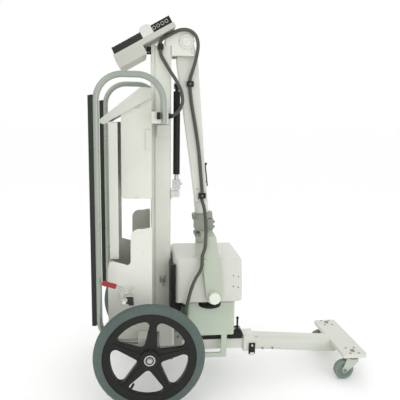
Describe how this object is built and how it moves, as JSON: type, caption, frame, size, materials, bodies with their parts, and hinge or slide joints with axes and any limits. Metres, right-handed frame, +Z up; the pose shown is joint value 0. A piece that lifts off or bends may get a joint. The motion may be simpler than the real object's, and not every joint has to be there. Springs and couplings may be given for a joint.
{
  "type": "mobile X-ray unit",
  "caption": "Mobile X-ray unit parked on two large rear wheels and two casters, its boom folded down and the tube head over the front leg.",
  "frame": {"origin": "middle of the object's footprint box, on the floor", "axes": "+X forward towards the casters, +Y to the machine's left, +Z up"},
  "size_m": [1.083, 0.662, 1.4122],
  "materials": {
    "grey_paint": "satin powder coat",
    "white_paint": "satin powder coat",
    "boom_paint": "satin painted aluminium",
    "case_white": "fine textured moulding",
    "tank_white": "satin moulded cover",
    "green_paint": "satin enamel",
    "green_case": "satin enamel",
    "handle_paint": "semi-gloss enamel",
    "cast_grey": "painted casting",
    "steel": "bright zinc",
    "black_metal": "satin black",
    "black_plastic": "moulded",
    "rim_plastic": "moulded, glass filled",
    "black_rubber": "matt rubber",
    "tyre_grey": "grey rubber",
    "caster_rubber": "grey-green rubber",
    "conduit_grey": "ribbed sleeve",
    "grip_red": "dipped vinyl",
    "key_green": "moulded key",
    "key_amber": "moulded key"
  },
  "bodies": {
    "base": {"chassis": "grey_paint", "cassette_bin": "white_paint", "column": "grey_paint", "column_fittings": "white_paint", "hub_head": "white_paint", "boom_pin": "white_paint", "generator_box": "case_white", "sloped_lid": "white_paint", "rear_panel": "white_paint", "right_handle": "handle_paint", "left_handle": "handle_paint", "skid_strips": "black_rubber", "handle_brackets": "cast_grey", "handle_knobs": "black_plastic", "axle_stubs": "steel", "leg_root": "cast_grey", "inner_beam": "grey_paint", "leg_collar": "grey_paint", "leg_sleeve": "white_paint", "crossbar": "white_paint", "parking_cradle": "black_metal", "leg_pad": "black_rubber", "brake_brackets": "steel", "console_bracket": "black_metal", "conduit_column": "conduit_grey", "conduit_loop": "conduit_grey"},
    "right_wheel": {"right_tyre": "tyre_grey", "right_rim": "rim_plastic", "right_hub_cap": "steel"},
    "left_wheel": {"left_tyre": "tyre_grey", "left_rim": "rim_plastic", "left_hub_cap": "steel"},
    "right_caster": {"right_caster_fork": "green_paint"},
    "right_roller": {"right_caster_wheel": "caster_rubber"},
    "left_caster": {"left_caster_fork": "green_paint"},
    "left_roller": {"left_caster_wheel": "caster_rubber"},
    "console": {"console_body": "case_white", "console_strip": "black_rubber", "console_display": "black_plastic", "console_saddle": "tank_white"},
    "start_key": {"key_start": "key_green"},
    "stop_key": {"key_stop": "key_amber"},
    "boom": {"boom": "boom_paint", "boom_clips": "black_plastic", "conduit_boom": "conduit_grey", "conduit_drop": "conduit_grey"},
    "gas_rod": {"gas_rod": "steel"},
    "gas_cylinder": {"gas_cylinder": "black_metal"},
    "fork": {"swivel_clamp": "cast_grey", "fork_arms": "green_paint", "conduit_tail": "conduit_grey"},
    "head": {"tank": "tank_white", "pivot_knobs": "green_paint"},
    "collimator": {"collimator": "green_case"},
    "field_wheel": {"field_wheel": "black_plastic"},
    "latch": {"latch_lever": "black_metal"},
    "right_brake": {"right_brake_lever": "steel", "right_brake_grip": "grip_red"},
    "left_brake": {"left_brake_lever": "steel", "left_brake_grip": "grip_red"}
  },
  "joints": [
    {"name": "right_wheel_spin", "type": "hinge", "parent": "base", "child": "right_wheel", "pos_m": [-0.3375, -0.3, 0.2], "axis": [0, 1, 0], "continuous": true},
    {"name": "left_wheel_spin", "type": "hinge", "parent": "base", "child": "left_wheel", "pos_m": [-0.3375, 0.3, 0.2], "axis": [0, 1, 0], "continuous": true},
    {"name": "right_caster_swivel", "type": "hinge", "parent": "base", "child": "right_caster", "pos_m": [0.492, -0.146, 0.096], "axis": [0, 0, 1], "continuous": true},
    {"name": "left_caster_swivel", "type": "hinge", "parent": "base", "child": "left_caster", "pos_m": [0.492, 0.146, 0.096], "axis": [0, 0, 1], "continuous": true},
    {"name": "right_caster_roll", "type": "hinge", "parent": "right_caster", "child": "right_roller", "pos_m": [0.458, -0.146, 0.04], "axis": [0, 1, 0], "continuous": true},
    {"name": "left_caster_roll", "type": "hinge", "parent": "left_caster", "child": "left_roller", "pos_m": [0.458, 0.146, 0.04], "axis": [0, 1, 0], "continuous": true},
    {"name": "console_tilt", "type": "hinge", "parent": "base", "child": "console", "pos_m": [-0.3355, 0, 1.303], "axis": [0, -1, 0], "range_deg": [0, 25]},
    {"name": "start_key_press", "type": "slide", "parent": "console", "child": "start_key", "axis": [0.4924, 0, -0.8704], "range_m": [0, 0.003], "stiffness_N_per_m": 300, "springref_m": -0.002},
    {"name": "stop_key_press", "type": "slide", "parent": "console", "child": "stop_key", "axis": [0.4924, 0, -0.8704], "range_m": [0, 0.003], "stiffness_N_per_m": 300, "springref_m": -0.002},
    {"name": "boom_lift", "type": "hinge", "parent": "base", "child": "boom", "pos_m": [-0.1935, 0, 1.328], "axis": [0, -1, 0], "range_deg": [0, 95], "deforming": ["conduit_loop"]},
    {"name": "gas_swing", "type": "hinge", "parent": "base", "child": "gas_rod", "pos_m": [-0.2275, -0.046, 0.754], "axis": [0, 1, 0], "range_deg": [0, 20]},
    {"name": "gas_extend", "type": "slide", "parent": "gas_rod", "child": "gas_cylinder", "axis": [0, 0, 1], "range_m": [0, 0.175]},
    {"name": "fork_swivel", "type": "hinge", "parent": "boom", "child": "fork", "pos_m": [-0.12, 0, 0.673], "axis": [0.1115, 0, -0.9938], "range_deg": [-3, 3], "deforming": ["conduit_drop"]},
    {"name": "head_tilt", "type": "hinge", "parent": "fork", "child": "head", "pos_m": [-0.0845, 0, 0.362], "axis": [0, 1, 0], "range_deg": [0, 5], "deforming": ["conduit_tail"]},
    {"name": "collimator_turn", "type": "hinge", "parent": "head", "child": "collimator", "pos_m": [-0.0845, 0, 0.3], "axis": [0, 0, 1], "range_deg": [-8, 8]},
    {"name": "field_wheel_turn", "type": "hinge", "parent": "collimator", "child": "field_wheel", "pos_m": [-0.0915, -0.066, 0.306], "axis": [0, 0, 1], "continuous": true},
    {"name": "latch_flip", "type": "hinge", "parent": "collimator", "child": "latch", "pos_m": [0.0285, -0.053, 0.182], "axis": [0, 1, 0], "range_deg": [0, 70]},
    {"name": "right_brake_release", "type": "hinge", "parent": "base", "child": "right_brake", "pos_m": [-0.4255, -0.272, 0.41], "axis": [0, -1, 0], "range_deg": [0, 30]},
    {"name": "left_brake_release", "type": "hinge", "parent": "base", "child": "left_brake", "pos_m": [-0.4255, 0.272, 0.41], "axis": [0, -1, 0], "range_deg": [0, 30]}
  ],
  "couplings": [
    {"joint": "gas_swing", "follows": "boom_lift", "ratio": 0.20541},
    {"joint": "gas_extend", "follows": "boom_lift", "m_per_rad": 0.10484}
  ]
}
